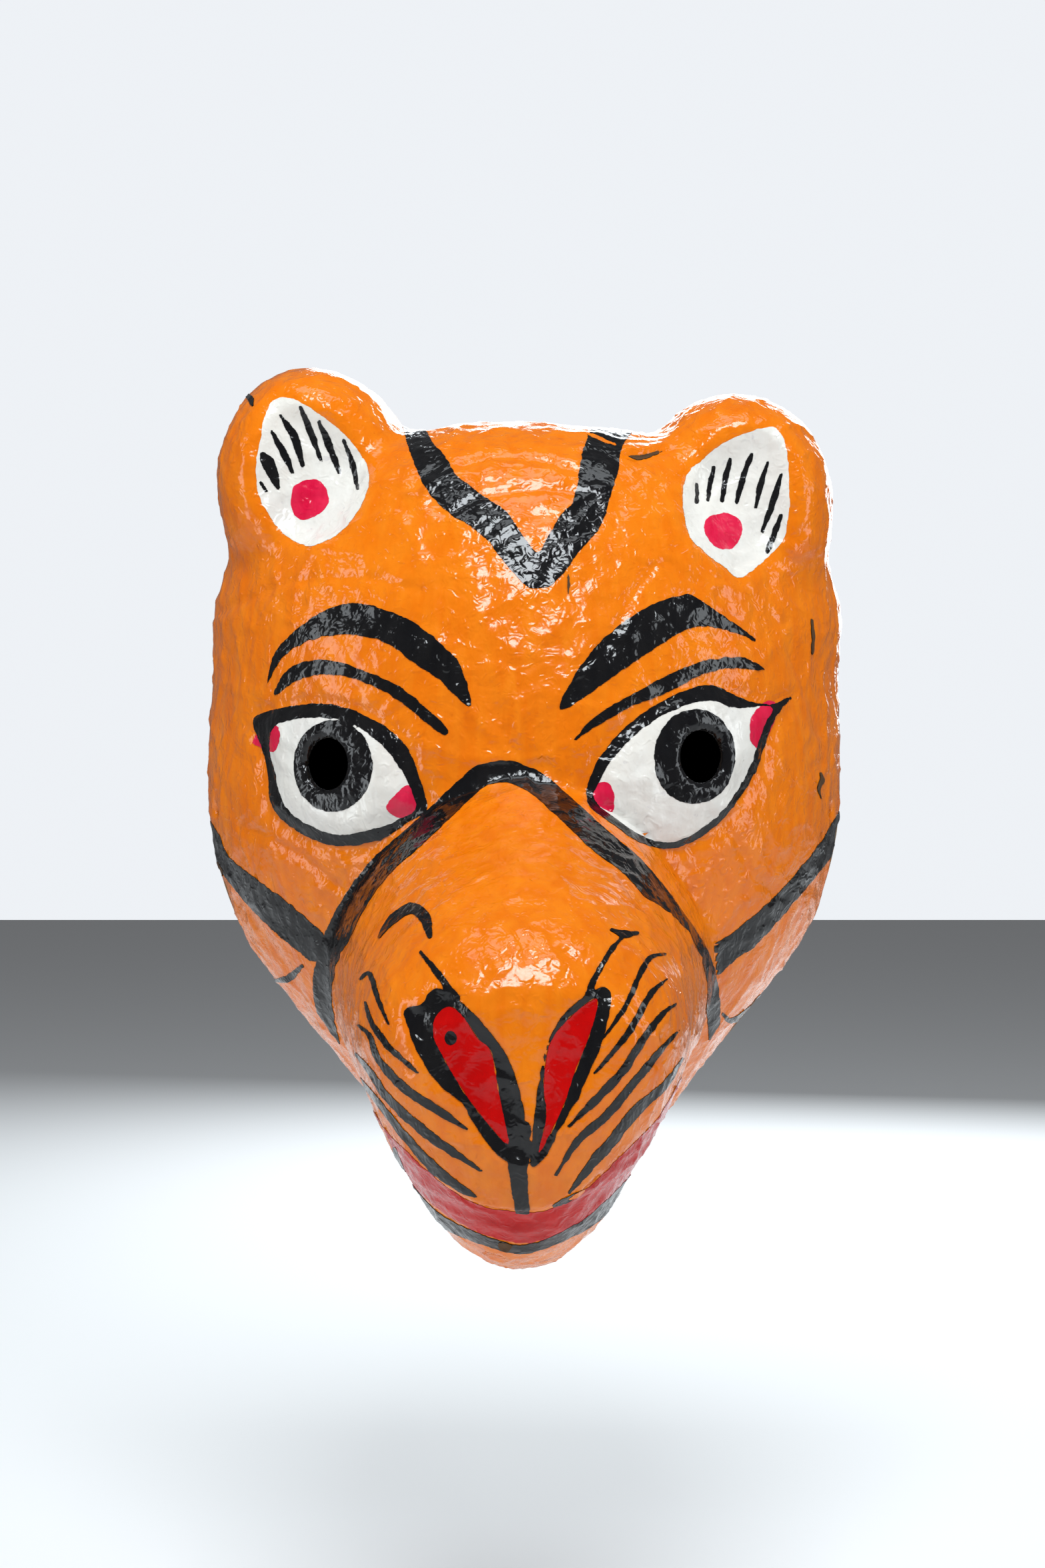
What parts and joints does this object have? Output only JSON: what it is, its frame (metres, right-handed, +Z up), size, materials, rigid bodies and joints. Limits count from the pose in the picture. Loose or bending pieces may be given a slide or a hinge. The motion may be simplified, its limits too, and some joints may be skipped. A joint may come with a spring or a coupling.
{
  "type": "mask",
  "caption": "Papier-mache tiger face mask: hollow lacquered shell with long muzzle, set-back jaw, two hollow ears, sight holes and tie holes.",
  "frame": {"origin": "middle of the crown, on the flat back of the rim", "axes": "+Z up, the face looks towards -Y, +X to the right seen from the front"},
  "size_m": [0.189, 0.15, 0.2474],
  "materials": {
    "lacquered_orange": "orange paint under glossy yellowed lacquer, wrinkled paper",
    "kraft_paper": "raw brown paper with glue, matte",
    "black_enamel": "brush-painted gloss enamel lines, film on the paper",
    "white_enamel": "brush-painted gloss white, ears and eyes",
    "red_enamel": "brush-painted gloss red, nostrils, mouth, ears and eye corners"
  },
  "bodies": {
    "root": {"face_shell": "lacquered_orange", "muzzle_shell": "lacquered_orange", "lower_jaw": "lacquered_orange", "left_ear": "lacquered_orange", "right_ear": "lacquered_orange", "rim_binding": "kraft_paper", "muzzle_joint_strip": "kraft_paper", "jaw_joint_strip": "kraft_paper", "left_ear_joint_strip": "kraft_paper", "right_ear_joint_strip": "kraft_paper", "left_tie_patch": "kraft_paper", "right_tie_patch": "kraft_paper"}
  },
  "joints": []
}
